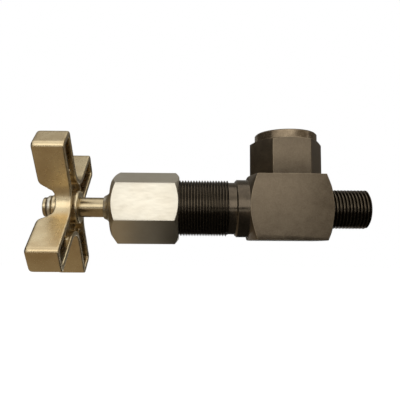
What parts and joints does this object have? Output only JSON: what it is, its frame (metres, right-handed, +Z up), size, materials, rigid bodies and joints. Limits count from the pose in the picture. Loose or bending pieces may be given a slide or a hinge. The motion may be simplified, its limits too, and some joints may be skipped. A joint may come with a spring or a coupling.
{
  "type": "gauge shut-off valve",
  "caption": "Angle-pattern needle shut-off valve with cross handle, hexagon bonnet nut, threaded panel neck, square body, male inlet and swivelling union nut for a gauge.",
  "frame": {"origin": "centre of the inlet shoulder, where the inlet thread leaves the valve body", "axes": "+X along the spindle and out of the inlet, +Z up along the gauge port, -Y to the side the flat face looks to"},
  "size_m": [0.1744, 0.0722, 0.0767],
  "materials": {
    "black_steel": "phosphated and oiled steel",
    "zinc_plated_steel": "bright zinc plating",
    "die_cast_handle": "die-cast zinc alloy with a warm nickel finish",
    "spindle_steel": "ground steel",
    "hard_steel": "hardened and ground",
    "ptfe": "moulded PTFE",
    "wiper_rubber": "nitrile rubber",
    "seal_copper": "soft annealed copper"
  },
  "bodies": {
    "valve": {"valve_body": "black_steel", "bonnet_nut": "zinc_plated_steel", "stem_wiper": "wiper_rubber", "gland_follower": "hard_steel", "packing_header_ring": "ptfe", "packing_ring_1": "ptfe", "packing_ring_2": "ptfe", "packing_ring_3": "ptfe", "packing_base_ring": "ptfe", "packing_washer": "hard_steel", "gauge_nipple": "black_steel", "nipple_seal_ring": "seal_copper", "gauge_gasket": "seal_copper"},
    "needle": {"needle_cone": "hard_steel"},
    "spindle": {"spindle": "spindle_steel", "needle_retaining_ring": "hard_steel", "handle": "die_cast_handle", "handle_pin": "hard_steel", "handle_washer": "zinc_plated_steel", "handle_snap_ring": "black_steel"},
    "union": {"union_nut": "black_steel"}
  },
  "joints": [
    {"name": "needle_slide", "type": "slide", "parent": "valve", "child": "needle", "axis": [-1, 0, 0], "range_m": [0, 0.006]},
    {"name": "spindle_turn", "type": "hinge", "parent": "needle", "child": "spindle", "pos_m": [-0.08, 0, 0], "axis": [-1, 0, 0], "range_deg": [0, 1440]},
    {"name": "union_nut_turn", "type": "hinge", "parent": "valve", "child": "union", "pos_m": [-0.0214, 0, 0.03], "axis": [0, 0, 1], "continuous": true}
  ],
  "couplings": [
    {"joint": "spindle_turn", "follows": "needle_slide", "rad_per_m": 4188.8}
  ]
}
